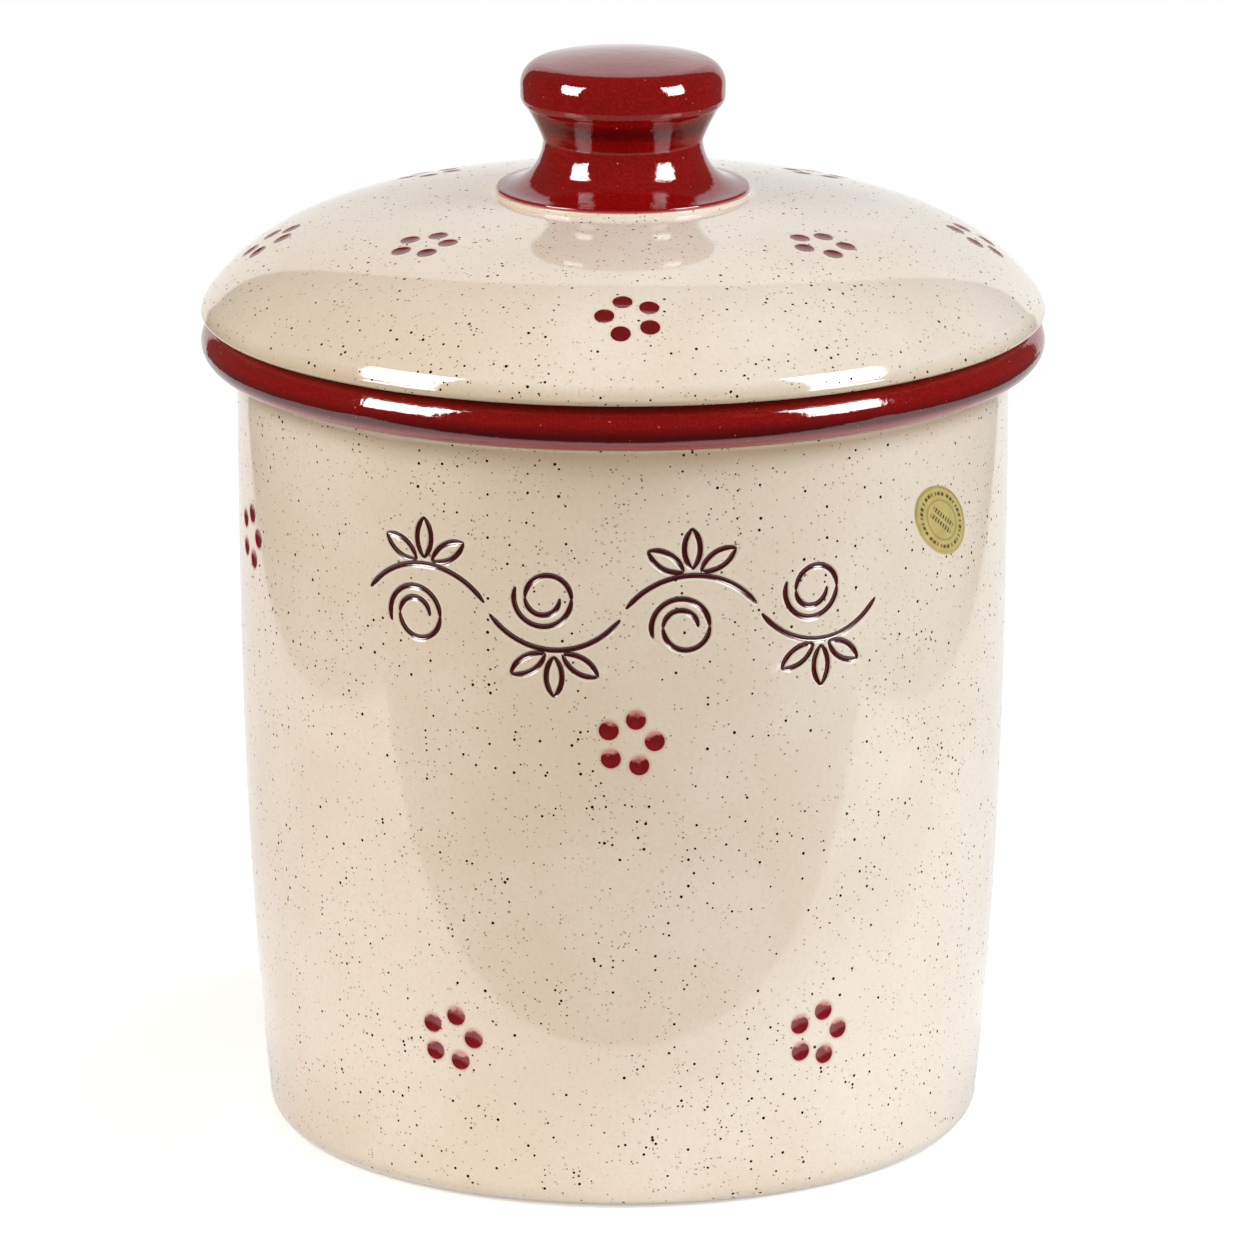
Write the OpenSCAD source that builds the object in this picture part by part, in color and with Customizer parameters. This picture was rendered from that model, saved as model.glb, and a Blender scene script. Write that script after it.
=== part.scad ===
// Stoneware preserving crock with a rolled rim, a domed lid and a hollow mushroom knob.
// Millimetres, +Z up, origin on the underside at the centre; the decorated front looks along -Y.

/* [Crock] */
// Height of the crock from its foot to the top of the rim
crock_h = 211; // [170:1:250]
// Outer diameter of the rolled rim and of the lid's edge
rim_d = 216; // [190:1:240]
// Height of the rolled rim
roll_h = 11.5; // [8:0.5:13]
// How far the rolled rim stands out from the wall below it
roll_out = 9.1; // [7:0.1:10]
// How much the wall draws in from the rim to the foot, on the radius
wall_taper = 7.6; // [3:0.2:12]
// Thickness of the thrown wall
wall_t = 6; // [5:0.5:8]
// Thickness of the floor
floor_t = 8; // [6:0.5:12]
// Rounding of the outer bottom corner
base_round = 6.5; // [4:0.5:8]
// Rounding of the inner bottom corner
floor_round = 12; // [6:1:16]
// Depth of the hollow under the foot
foot_lift = 1.5; // [1:0.1:2.5]
// Width of the foot ring that the crock stands on
foot_w = 9; // [7:0.5:14]

/* [Lid] */
// Rise of the lid's shoulder above its edge
shoulder_h = 17.8; // [14:0.2:20]
// Further rise of the gentle crown inside the shoulder
crown_h = 12.9; // [10:0.1:17]
// Thickness of the lid at the top of its dome
lid_t = 7; // [5:0.5:9]
// Thickness of the lid's lip at the edge
lip_h = 1.6; // [1.4:0.1:3]
// Depth of the locating flange below the rim's top
flange_depth = 9; // [6:0.5:14]
// Thickness of the locating flange
flange_t = 5; // [4:0.5:6.5]
// Gap between the flange and the mouth, on the radius
flange_gap = 1.6; // [1:0.1:2.5]
// Gap between the resting lid and the rim
seat_gap = 0.3; // [0.2:0.1:0.5]
// Diameter of the vent hole into the hollow knob
vent_d = 5; // [3:0.5:6]

/* [Knob] */
// Height of the knob above the lid
knob_h = 35; // [31:0.5:42]
// Diameter of the knob's cap
cap_d = 52.4; // [48:0.4:58]
// Diameter of the knob's waist
waist_d = 40.8; // [36:0.4:44]
// Diameter of the knob's flared foot
knob_foot_d = 64.6; // [60:0.2:70]
// Thickness of the knob's wall
knob_t = 5; // [4:0.5:5.5]

/* [Decoration] */
// Thickness of the red glaze coat on the rim
glaze_t = 0.4; // [0.3:0.05:0.6]
// Diameter of one pressed dot
dot_d = 4.9; // [4:0.1:5.6]
// Depth of one pressed dot
dot_depth = 0.9; // [0.6:0.05:1.2]
// Distance from a blossom's centre to its dots
blossom_r = 6.2; // [5.6:0.1:7]
// How far the glaze in the dots and lines lies below the surface
inlay_drop = 0.25; // [0.15:0.05:0.35]
// Width of the incised lines
line_w = 1.1; // [0.8:0.1:1.6]
// Depth of the incised lines
line_depth = 0.6; // [0.5:0.05:0.9]
// Distance of the scroll band's centre line below the rolled rim
scroll_drop = 42.5; // [40:0.5:50]
// Width of one bay of the scroll, as an angle
bay_deg = 20; // [18:0.5:22]
// Width of the foil label
label_w = 21.5; // [16:0.5:24]
// Height of the foil label
label_h = 17; // [14:0.5:20]
// Thickness of the foil label
label_t = 0.2; // [0.1:0.05:0.3]
// Thickness of the glue under the foil label
label_glue_t = 0.05; // [0.05:0.05:0.1]
// Distance of the label's centre below the rolled rim
label_drop = 28.5; // [24:0.5:34]
// Direction of the label from the front, turning to the right
label_deg = 53; // [52:1:75]

/* [Hidden] */
$fn = 96;
ARC_STEPS = 10;      // points along a rounded corner
WALL_STEPS = 20;     // bands up the wall below the scroll
TOP_STEPS = 3;       // bands between the scroll and the rim
DOME_STEPS = 26;     // bands over the dome
WALL_POWER = 2.8;    // how quickly the taper fades towards the rim
SHOULDER_POWER = 6.8; // how tightly the lid's shoulder turns down
SHOULDER_ROUND = 1.2; // over 1, so that the dome ends upright at its edge
DOTS = 5;            // dots in a blossom
DOT_SIDES = 20;      // sides of the round stamp
STAMP_CLEAR = 1;     // how far the stamp stands out of the clay
EDGE_BREAK = 1;      // chamfer on the flange and the inner lip

// Crock, from the rim inwards
rim_r = rim_d / 2;
roll_r = roll_h / 2;
roll_c = [rim_r - roll_r, crock_h - roll_r];
wall_top_r = rim_r - roll_out;
wall_top_z = crock_h - roll_h;
mouth_r = wall_top_r - wall_t;
mouth_round = 2.5;
cove_r = 2.5;
foot_r = wall_r(base_round) - base_round;

// Lid, from the rim up
seat_z = crock_h + seat_gap;
lip_z = seat_z + seat_gap;
dome_z = lip_z + lip_h;
dome_top_z = dome_z + shoulder_h + crown_h;
flange_r = mouth_r - flange_gap;
hollow_r = flange_r - flange_t;
hollow_z = dome_z + EDGE_BREAK;
hollow_h = dome_top_z - lid_t - hollow_z;
HOLLOW_POWER = 2.6;  // squarer than an ellipse, so the shoulder keeps an even wall

// Knob, from its foot up
knob_foot_r = knob_foot_d / 2;
knob_z = dome_top_z;
pad_step = 0.7;
pad_r = knob_foot_r + pad_step;
foot_edge_h = 0.9;
cap_r = cap_d / 2;
waist_r = waist_d / 2;
flare_r = knob_foot_r - waist_r;
waist_z = knob_z + foot_edge_h + flare_r;
knob_top_z = knob_z + knob_h;
cap_crown = 1.8;
cap_side_h = 2.6;
shoulder_r = 6;
shoulder_z = knob_top_z - shoulder_r - cap_crown;
under_r = 4;
under_z = shoulder_z - cap_side_h;
UNDER_DEG = 50;      // how far the cap's lower rounding turns under

// Pressed dots: the turn of a blossom's first dot
DOT_PHASE_BODY = 4;
DOT_PHASE_LID = 34;

// Scroll band: a wave of arches, a curl in each bay and a sprig on each crest
BAYS = 4;
scroll_z = wall_top_z - scroll_drop;
bay_half = (wall_r(scroll_z) - line_depth / 2) * tan(bay_deg / 2);
stem_rise = bay_half * 0.55;
stem_r = (pow(bay_half, 2) + pow(stem_rise, 2)) / (2 * stem_rise);
stroke_gap = line_w * 0.9;
stem_half_deg = asin((bay_half - stroke_gap) / stem_r);
curl_r = bay_half * 0.42;
leaf_len = bay_half * 0.6;
leaf_half_deg = 42;
leaf_arc_r = leaf_len / (2 * sin(leaf_half_deg));
band_half = stem_rise + leaf_len + 3 * line_w;
band_low = scroll_z - band_half;
band_high = scroll_z + band_half;

label_z = wall_top_z - label_drop;

// Blossom places, each a direction from the front: scattered by hand over the wall in three rows
LOW_ROW = [-27, 31, 103, 176, -102];
MID_ROW = [1, 121, -121];
HIGH_ROW = [-73, 108, 180];
low_row_z = wall_top_z * 0.218;
mid_row_z = band_low - blossom_r - 0.75 * dot_d;
high_row_z = scroll_z + 0.6 * dot_d;
// On the lid they alternate between an outer and an inner ring
LID_OUTER = [1, 91, 181, 271];
LID_INNER = [49, 131, 229, 311];
lid_outer_r = rim_r * 5 / 6;
lid_inner_r = rim_r * 11 / 18;

// Outer radius of the wall at a height
function wall_r(z) =
    wall_top_r - wall_taper * pow(max(0, 1 - z / wall_top_z), WALL_POWER);

// Height of the dome's outer face at a radius, and its slope below the horizontal
function dome_at(r) =
    dome_z + crown_h * (1 - pow(r / rim_r, 2))
    + shoulder_h * pow(1 - pow(r / rim_r, SHOULDER_POWER), 1 / SHOULDER_ROUND);
function dome_slope(r) =
    let (crown = 2 * crown_h * r / rim_r,
         bend = SHOULDER_POWER / SHOULDER_ROUND * pow(r / rim_r, SHOULDER_POWER - 1),
         edge = pow(1 - pow(r / rim_r, SHOULDER_POWER), 1 / SHOULDER_ROUND - 1))
    atan((crown + shoulder_h * bend * edge) / rim_r);

// Points along an arc about a centre
function arc(c, r, from, to) =
    [for (k = [0 : ARC_STEPS]) let (a = from + (to - from) * k / ARC_STEPS) c + r * [cos(a), sin(a)]];

// The wall's outer line from the base corner up, moved out by some amount: straight behind the scroll
function wall_line(out) =
    [for (z = concat([for (k = [0 : WALL_STEPS]) base_round + (band_low - base_round) * k / WALL_STEPS],
                     [for (k = [0 : TOP_STEPS]) band_high + (wall_top_z - band_high) * k / TOP_STEPS]))
        [wall_r(z) + out, z]];

// The wall's inner line from the mouth down to the floor's corner
function inner_line() =
    [for (k = [WALL_STEPS : -1 : 0])
        let (low = floor_t + floor_round, z = low + (wall_top_z - low) * k / WALL_STEPS)
        [wall_r(z) - wall_t, z]];

module crock_section() {
    inner_foot_r = wall_r(floor_t + floor_round) - wall_t - floor_round;
    polygon(concat(
        [[0, foot_lift], [foot_r - foot_w, foot_lift], [foot_r - foot_w + foot_lift, 0]],
        arc([foot_r, base_round], base_round, -90, -6),
        wall_line(0),
        [[roll_c[0], wall_top_z], [roll_c[0], crock_h - glaze_t]],
        arc([mouth_r + mouth_round, crock_h - glaze_t - mouth_round], mouth_round, 90, 180),
        inner_line(),
        arc([inner_foot_r, floor_t + floor_round], floor_round, -6, -90),
        [[0, floor_t]]));
    translate(roll_c) circle(r = roll_r - glaze_t);
    // the strip of roll that stays bare under the glaze's lower edge
    intersection() {
        translate(roll_c) circle(r = roll_r);
        translate([wall_top_r, wall_top_z]) square([roll_c[0] - wall_top_r, roll_r]);
    }
    // cove under the roll
    difference() {
        translate([wall_top_r - 1, wall_top_z - cove_r]) square([cove_r + 1, cove_r]);
        translate([wall_top_r + cove_r, wall_top_z - cove_r]) circle(r = cove_r);
    }
}

// One pressed dot at the surface: the hollow, or the glaze that fills it to just below the surface
module dot(filled) {
    translate([0, 0, -dot_depth])
        linear_extrude(height = dot_depth + (filled ? -inlay_drop : STAMP_CLEAR))
            polygon([for (k = [0 : DOT_SIDES - 1])
                let (a = 360 * k / DOT_SIDES) dot_d / 2 * [cos(a), sin(a)]]);
}

// A dot on the wall at a direction and height
module wall_dot(deg, z, filled) {
    rotate([0, 0, deg])
        translate([0, -wall_r(z), z])
            rotate([90, 0, 0]) dot(filled);
}

module wall_blossom(deg, z, filled) {
    for (k = [0 : DOTS - 1]) {
        a = DOT_PHASE_BODY + k * 360 / DOTS;
        wall_dot(deg + blossom_r * cos(a) / wall_r(z) * 180 / PI, z + blossom_r * sin(a), filled);
    }
}

module wall_blossoms(filled) {
    for (deg = LOW_ROW) wall_blossom(deg, low_row_z, filled);
    for (deg = MID_ROW) wall_blossom(deg, mid_row_z, filled);
    for (deg = HIGH_ROW) wall_blossom(deg, high_row_z, filled);
}

// A dot on the dome at a direction and radius
module dome_dot(deg, r, filled) {
    rotate([0, 0, deg])
        translate([0, -r, dome_at(r)])
            rotate([dome_slope(r), 0, 0]) dot(filled);
}

module dome_blossom(deg, r, filled) {
    for (k = [0 : DOTS - 1]) {
        a = DOT_PHASE_LID + k * 360 / DOTS;
        across = blossom_r * cos(a);
        down = -blossom_r * sin(a) * cos(dome_slope(r));
        dome_dot(deg + across / r * 180 / PI, r + down, filled);
    }
}

module dome_blossoms(filled) {
    for (deg = LID_OUTER) dome_blossom(deg, lid_outer_r, filled);
    for (deg = LID_INNER) dome_blossom(deg, lid_inner_r, filled);
}

// A stroke of the incised line: part of a ring between two angles
module stroke(c, r, from, to) {
    far = 3 * r;
    mid = (from + to) / 2;
    translate(c) intersection() {
        difference() {
            circle(r = r + line_w / 2);
            circle(r = r - line_w / 2);
        }
        polygon([[0, 0], far * [cos(from), sin(from)], far * [cos((from + mid) / 2), sin((from + mid) / 2)],
                 far * [cos(mid), sin(mid)], far * [cos((mid + to) / 2), sin((mid + to) / 2)],
                 far * [cos(to), sin(to)]]);
    }
}

// A leaf of two arcs that starts at a point and leans over by an angle
module leaf(at, lean) {
    translate(at) rotate(lean) {
        reach = leaf_arc_r * cos(leaf_half_deg);
        stroke([leaf_len / 2, -reach], leaf_arc_r, 90 - leaf_half_deg, 90 + leaf_half_deg);
        stroke([leaf_len / 2, reach], leaf_arc_r, 270 - leaf_half_deg, 270 + leaf_half_deg);
    }
}

// One bay, drawn with its arch upwards
module bay() {
    stroke([0, stem_rise - stem_r], stem_r, 90 - stem_half_deg, 90 + stem_half_deg);
    curl_c = [-bay_half / 6, -curl_r / 2];
    stroke(curl_c, curl_r, 0, 200);
    stroke(curl_c + [curl_r * 0.2, 0], curl_r * 0.8, -180, 2);
    stroke(curl_c, curl_r * 0.6, 0, 180);
    crest = [0, stem_rise + line_w + stroke_gap / 2];
    leaf(crest, 90);
    for (side = [-1, 1]) leaf(crest + [side * 2 * line_w, -line_w / 2], 90 - side * 58);
}

// The part of the wall's skin between two depths
module wall_skin(deep, shallow) {
    outer = wall_line(-shallow);
    rotate_extrude() polygon(concat(wall_line(-deep), [for (k = [len(outer) - 1 : -1 : 0]) outer[k]]));
}

module scroll_lines(deep, shallow) {
    reach = 2 * line_depth + 4;
    for (k = [0 : BAYS - 1]) {
        deg = (k - (BAYS - 1) / 2) * bay_deg;
        intersection() {
            rotate([0, 0, deg])
                translate([0, -wall_r(scroll_z) + reach, scroll_z])
                    rotate([90, 0, 0])
                        linear_extrude(height = 2 * reach) mirror([0, k % 2, 0]) bay();
            wall_skin(deep, shallow);
        }
    }
}

module crock_body() {
    color("#e3d2ba") difference() {
        rotate_extrude() crock_section();
        wall_blossoms(false);
        scroll_lines(line_depth, -1);
    }
}

module rim_glaze() {
    color("#76140f") rotate_extrude() difference() {
        union() {
            intersection() {
                translate(roll_c) circle(r = roll_r);
                translate([roll_c[0], wall_top_z]) square([roll_r, roll_h]);
            }
            translate([mouth_r + mouth_round, crock_h - glaze_t])
                square([roll_c[0] - mouth_r - mouth_round, glaze_t]);
        }
        translate(roll_c) circle(r = roll_r - glaze_t);
    }
}

module crock_dot_glaze() {
    color("#7c1a1a") wall_blossoms(true);
}

module scroll_glaze() {
    color("#4a0f10") scroll_lines(line_depth, inlay_drop);
}

module foil_label() {
    reach = 4;
    color("#b59a4c") intersection() {
        rotate([0, 0, label_deg])
            translate([0, -wall_r(label_z) + reach, label_z])
                rotate([90, 0, 0])
                    linear_extrude(height = 2 * reach)
                        polygon([for (k = [0 : 47]) [label_w / 2 * cos(k * 7.5), label_h / 2 * sin(k * 7.5)]]);
        wall_skin(-label_glue_t, -label_glue_t - label_t);
    }
}

module lid_section() {
    pad_deg = acos(pad_r / rim_r);
    flange_low = crock_h - flange_depth;
    polygon(concat(
        [[vent_d / 2, knob_z], [pad_r, knob_z]],
        [for (k = [DOME_STEPS : -1 : 0])
            let (r = rim_r * cos(pad_deg * k / DOME_STEPS)) [r, dome_at(r)]],
        arc([rim_r - lip_h, dome_z], lip_h, -6, -84),
        [[roll_c[0], seat_z], [flange_r, seat_z],
         [flange_r, flange_low + EDGE_BREAK], [flange_r - EDGE_BREAK, flange_low],
         [hollow_r + EDGE_BREAK, flange_low], [hollow_r, flange_low + EDGE_BREAK]],
        [for (k = [0 : DOME_STEPS - 1])
            let (a = 90 * k / DOME_STEPS, r = hollow_r * pow(cos(a), 2 / HOLLOW_POWER),
                 z = hollow_z + hollow_h * pow(sin(a), 2 / HOLLOW_POWER))
            if (r > vent_d / 2 + EDGE_BREAK) [r, z]],
        [[vent_d / 2, dome_top_z - lid_t]]));
}

module lid_shell() {
    color("#e3d2ba") difference() {
        rotate_extrude() lid_section();
        dome_blossoms(false);
    }
}

module lid_dot_glaze() {
    color("#7c1a1a") dome_blossoms(true);
}

module knob_section() {
    inner_cap_r = cap_r - knob_t;
    inner_waist_r = waist_r - knob_t;
    polygon(concat(
        [[inner_waist_r, knob_z], [knob_foot_r, knob_z], [knob_foot_r, knob_z + foot_edge_h]],
        arc([knob_foot_r, waist_z], flare_r, 270, 180),
        arc([cap_r - under_r, under_z], under_r, -UNDER_DEG, 0),
        arc([cap_r - shoulder_r, shoulder_z], shoulder_r, 0, 78),
        [for (k = [7 : -1 : 0])
            let (edge_r = cap_r - shoulder_r, edge_z = shoulder_z + shoulder_r, r = edge_r * k / 8)
            [r, knob_top_z - (knob_top_z - edge_z) * pow(r / edge_r, 2)]],
        [[0, knob_top_z - knob_t]],
        arc([cap_r - shoulder_r, shoulder_z], shoulder_r - knob_t, 90, 0),
        [[inner_cap_r, under_z], [inner_waist_r, waist_z]]));
}

module lid_knob() {
    color("#76140f") rotate_extrude() knob_section();
}

crock_body();
rim_glaze();
crock_dot_glaze();
scroll_glaze();
foil_label();
lid_shell();
lid_knob();
lid_dot_glaze();
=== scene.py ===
# %% [markdown]
# # A stoneware preserving crock with its lid
# The real object is thrown on a wheel from speckled clay. A cream glaze covers it, and a dark red
# glaze is brushed over the rolled rim and the hollow knob. Flowers of five pressed dots are filled with
# red too, and a carved line with a much darker red. The frame below is the measured solid model, which
# stays as it is. The pieces made here are laid over it, at the same place and size.

# %% Load the frame
import math

import bpy
import numpy as np
from mathutils import Matrix, Vector


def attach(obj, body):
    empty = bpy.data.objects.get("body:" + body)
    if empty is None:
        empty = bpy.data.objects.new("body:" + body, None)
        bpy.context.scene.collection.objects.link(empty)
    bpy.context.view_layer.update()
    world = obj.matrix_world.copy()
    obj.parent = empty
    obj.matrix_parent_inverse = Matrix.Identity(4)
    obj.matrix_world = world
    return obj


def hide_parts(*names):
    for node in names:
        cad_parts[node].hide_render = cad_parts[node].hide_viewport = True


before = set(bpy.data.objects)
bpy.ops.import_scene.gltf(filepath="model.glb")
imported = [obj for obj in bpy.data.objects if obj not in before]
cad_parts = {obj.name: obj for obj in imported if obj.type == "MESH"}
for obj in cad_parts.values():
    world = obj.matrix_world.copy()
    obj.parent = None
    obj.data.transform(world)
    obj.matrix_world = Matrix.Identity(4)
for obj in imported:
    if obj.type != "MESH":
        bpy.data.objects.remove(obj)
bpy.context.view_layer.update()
MM = 0.001
scene = bpy.context.scene

# %% [markdown]
# ## The camera
# A product photograph is taken from far away with a long lens, so that the round mouth shows as a
# slim ellipse. Distance, height and tilt were worked out from how the rim, the lid and the foot curve.
# The picture is square and PICTURE_W pixels wide, and the pot stands half a pixel left of its middle.

# %% Camera
PICTURE_W = 1247
LENS, AWAY, CAMERA_Z, TILT_DOWN = 273.44, 2.36457, 0.74461, 0.254685
camera_data = bpy.data.cameras.new("camera")
camera_data.lens = LENS
camera_data.sensor_width = 36
camera_data.shift_x = 0.5 / PICTURE_W
camera_data.clip_end = 50
camera = bpy.data.objects.new("camera", camera_data)
scene.collection.objects.link(camera)
camera.location = (0, -AWAY, CAMERA_Z)
camera.rotation_euler = (math.pi / 2 - TILT_DOWN, 0, 0)
scene.camera = camera
scene.view_settings.view_transform = "Standard"
print("camera", tuple(camera.location), "lens", camera_data.lens)

# %% [markdown]
# ## Small helpers for materials
# A glaze is a recipe of nodes. These helpers add one node in one line, so that a recipe can be read
# from top to bottom. Every pattern is placed by Object coordinates, which are metres on the pot.


# %% Material helpers
def recipe(name):
    """A new material and its tree, down to the shader that every recipe ends in."""
    mat = bpy.data.materials.new(name)
    mat.use_nodes = True
    return mat, mat.node_tree, mat.node_tree.nodes["Principled BSDF"]


def feed(tree, node, sockets):
    """Each socket of a node gets a value or a link."""
    for socket, value in sockets.items():
        if isinstance(value, bpy.types.NodeSocket):
            tree.links.new(value, node.inputs[socket])
        else:
            node.inputs[socket].default_value = value


def put(tree, kind, sockets=None, **traits):
    """One node, with its traits set and its sockets fed."""
    node = tree.nodes.new("ShaderNode" + kind)
    for trait, value in traits.items():
        setattr(node, trait, value)
    feed(tree, node, sockets or {})
    return node


def reckon(tree, operation, a, b=0.0):
    """Arithmetic on two numbers."""
    return put(tree, "Math", {0: a, 1: b}, operation=operation).outputs[0]


def step(tree, value, low, high, start=0.0, end=1.0):
    """A soft step from start to end while value goes from low to high."""
    sockets = {"Value": value, "From Min": low, "From Max": high, "To Min": start, "To Max": end}
    return put(tree, "MapRange", sockets, interpolation_type="SMOOTHSTEP").outputs[0]


def tint(tree, share, first, second):
    """A share of the second colour over the first."""
    return put(tree, "Mix", {0: share, 6: first, 7: second}, data_type="RGBA").outputs[2]


def noise(tree, place, size, detail=2.0, rough=0.5):
    """Soft random patches of a size in metres, from 0 to 1."""
    sockets = {"Vector": place, "Scale": 1 / size, "Detail": detail, "Roughness": rough}
    return put(tree, "TexNoise", sockets).outputs[0]


def srgb(r, g, b):
    """A colour as it is read off a screen, from 0 to 255, as the linear light a shader wants."""
    light = [((c / 255 + 0.055) / 1.055) ** 2.4 if c > 10 else c / 255 / 12.92 for c in (r, g, b)]
    return (*light, 1.0)


def relief(tree, strength, depth, height):
    """A fine relief of a depth in metres, which only bends the light."""
    return put(tree, "Bump", {"Strength": strength, "Distance": depth, "Height": height}).outputs[0]


def specks(tree, place, spacing, size, share):
    """Round specks, one at most in each cell of a given spacing: each gets its own size and chance."""
    cell = put(tree, "TexVoronoi", {"Vector": place, "Scale": 1 / spacing, "Randomness": 1.0})
    chance = put(tree, "SeparateColor", {0: cell.outputs["Color"]})
    mostly_small = reckon(tree, "POWER", chance.outputs[1], 1.8)
    reach = reckon(tree, "ADD", reckon(tree, "MULTIPLY", mostly_small, 0.95), 0.22)
    apart = reckon(tree, "MULTIPLY", cell.outputs["Distance"], spacing / size)
    round_spot = step(tree, reckon(tree, "SUBTRACT", apart, reach), -0.09, 0.09, 1.0, 0.0)
    there = reckon(tree, "LESS_THAN", chance.outputs[0], share)
    return reckon(tree, "MULTIPLY", round_spot, there)


def read(tree, name):
    """A number that the mesh carries at each of its points."""
    return put(tree, "Attribute", attribute_name=name).outputs["Fac"]


print("material helpers ready")

# %% [markdown]
# ## The cream glaze
# The clay holds grains of iron, which melt through the glaze as brown and black specks. Faint sunken
# ones, small brown ones and black ones are three layers of the same speck helper, and a slow noise
# makes them crowd in some places. The black ones are dull, so they stay black in a reflection. Three
# numbers on the mesh colour the glaze: a painted brownish shade under the rim and along the lid's
# lower edge, blush where red was wiped off an edge, and a painted highlight along the raised burr of
# the carved line.


# %% Cream glaze
def cream_recipe(name):
    """Speckled cream glaze: three layers of specks over a slowly changing cream."""
    mat, tree, shader = recipe(name)
    place = put(tree, "TexCoord").outputs["Object"]
    crowd = noise(tree, place, 0.016, 2.0)
    slow = noise(tree, place, 0.05, 3.0, 0.55)
    fine = noise(tree, place, 0.0011, 2.0, 0.6)
    colour = tint(tree, step(tree, slow, 0.35, 0.65), srgb(227, 212, 192), srgb(233, 220, 203))
    colour = tint(tree, step(tree, fine, 0.35, 0.75, 0.0, 0.2), colour, srgb(208, 188, 162))
    faint = specks(tree, place, 0.0019, 0.0004, step(tree, crowd, 0.3, 0.7, 0.15, 0.55))
    colour = tint(tree, reckon(tree, "MULTIPLY", faint, 0.3), colour, srgb(138, 112, 82))
    small = specks(tree, place, 0.00105, 0.00024, step(tree, crowd, 0.3, 0.7, 0.3, 0.75))
    colour = tint(tree, reckon(tree, "MULTIPLY", small, 0.75), colour, srgb(112, 70, 30))
    dark = specks(tree, place, 0.0016, 0.00037, step(tree, crowd, 0.35, 0.7, 0.14, 0.85))
    # Painted shade: browner under the rim and along the lid's lower edge, where the mesh asks for it.
    colour = tint(tree, read(tree, "painted_shade"), colour, srgb(178, 150, 108))
    colour = tint(tree, dark, colour, srgb(34, 18, 8))
    dull = step(tree, dark, 0.0, 1.0, 0.5, 0.0)
    colour = tint(tree, read(tree, "blush"), colour, srgb(214, 150, 138))
    # Painted highlight: a lighter cream along the raised burr of the carved line.
    colour = tint(tree, read(tree, "bare"), colour, srgb(244, 236, 222))
    peel = noise(tree, place, 0.005, 3.0, 0.5)
    lumps = reckon(tree, "ADD", peel, reckon(tree, "MULTIPLY", dark, -0.25))
    bump = relief(tree, 0.06, 0.0004, lumps)
    shine = {"Roughness": 0.07, "IOR": 1.5, "Specular IOR Level": dull}
    feed(tree, shader, {"Base Color": colour, "Normal": bump, **shine})
    return mat


cream = cream_recipe("cream_glaze")
print("cream glaze:", len(cream.node_tree.nodes), "nodes")

# %% [markdown]
# ## The red glaze
# The red is brushed on while the pot turns, so it keeps fine rings that run round it. It has tiny
# pale pinholes, it carries a painted shade on the lower half of the roll and in a band round the
# knob's neck, and it breaks to pink where it thins out along an edge. The rings come from a noise that
# is stretched round the axis: it reads the angle slowly and the height fast.


# %% Red glaze
def red_recipe(name, dark_red, bright_red):
    """Brushed red glaze: dark red with brighter rings and grain, worn through in patches."""
    mat, tree, shader = recipe(name)
    place = put(tree, "TexCoord").outputs["Object"]
    axes = put(tree, "SeparateXYZ", {0: place})
    turn = put(tree, "Math", {0: axes.outputs[0], 1: axes.outputs[1]}, operation="ARCTAN2").outputs[0]
    level = put(tree, "VectorMath", {0: place, 1: (1, 1, 0)}, operation="MULTIPLY")
    out = put(tree, "VectorMath", {0: level.outputs[0]}, operation="LENGTH").outputs["Value"]
    ring = put(tree, "CombineXYZ", {0: reckon(tree, "MULTIPLY", turn, 0.004), 1: out, 2: axes.outputs[2]})
    brushed = noise(tree, ring.outputs[0], 0.0011, 4.0, 0.65)
    patch = noise(tree, place, 0.013, 3.0, 0.6)
    worn = reckon(tree, "MULTIPLY", step(tree, brushed, 0.5, 0.8), step(tree, patch, 0.3, 0.75))
    grain = step(tree, noise(tree, place, 0.0007, 3.0, 0.7), 0.42, 0.72)
    worn = reckon(tree, "MAXIMUM", worn, reckon(tree, "MULTIPLY", grain, 0.55))
    colour = tint(tree, worn, dark_red, bright_red)
    # Painted shade: darker red on the lower half of the roll and round the knob's neck.
    colour = tint(tree, read(tree, "painted_shade"), colour, srgb(72, 3, 4))
    pinholes = specks(tree, place, 0.0017, 0.00022, step(tree, patch, 0.35, 0.7, 0.06, 0.5))
    colour = tint(tree, reckon(tree, "MULTIPLY", pinholes, 0.7), colour, srgb(222, 128, 104))
    iron = specks(tree, place, 0.0031, 0.00022, 0.2)
    colour = tint(tree, reckon(tree, "MULTIPLY", iron, 0.7), colour, srgb(60, 8, 10))
    colour = tint(tree, read(tree, "thin"), colour, srgb(206, 96, 100))
    lumps = reckon(tree, "ADD", reckon(tree, "MULTIPLY", brushed, 0.35), noise(tree, place, 0.004, 3.0, 0.5))
    bump = relief(tree, 0.22, 0.0004, lumps)
    feed(tree, shader, {"Base Color": colour, "Roughness": 0.05, "IOR": 1.52, "Normal": bump})
    return mat


red = red_recipe("red_glaze", srgb(122, 7, 8), srgb(166, 26, 18))
print("red glaze:", len(red.node_tree.nodes), "nodes")

# %% [markdown]
# ## The red in the dots and the carved line
# A brush drops colour into each hollow and a sponge wipes the wall clean. The colour runs to the low
# side of the hollow and leaves the upper slope thin and pink. Each dot carries a map, glaze_map, with
# its own up and down, so that one recipe can shade all of them, and a noise makes every dot a little
# different. The lid's dots and the carved line keep more of their colour than the wall's dots do.


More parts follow.
